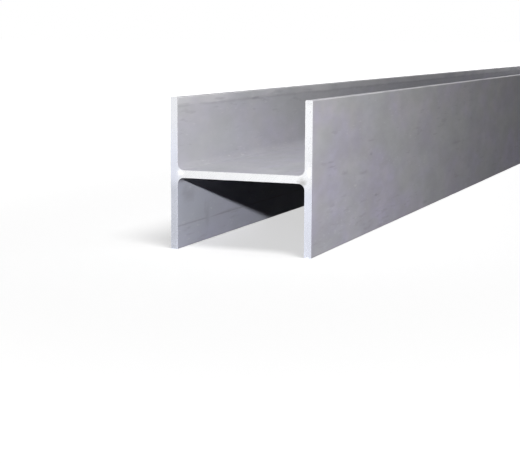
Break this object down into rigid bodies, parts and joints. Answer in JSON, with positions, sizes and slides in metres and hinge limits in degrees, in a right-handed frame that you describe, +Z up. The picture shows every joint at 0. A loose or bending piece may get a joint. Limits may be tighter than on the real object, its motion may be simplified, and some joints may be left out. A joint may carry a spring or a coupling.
{
  "type": "steel h-beam",
  "caption": "Straight length of hot-rolled steel H-section lying with its web level and its two wide flanges upright, with hollow root fillets and square sawn ends.",
  "frame": {"origin": "on the floor under the middle of the beam, midway between the flanges", "axes": "+Y along the beam, +Z up, +X across the web from one flange to the other"},
  "size_m": [0.3, 6, 0.305],
  "materials": {
    "rolled_steel": "grey mill scale on the rolled faces, bare bright metal on the sawn ends"
  },
  "bodies": {
    "root": {"h_beam": "rolled_steel"}
  },
  "joints": []
}
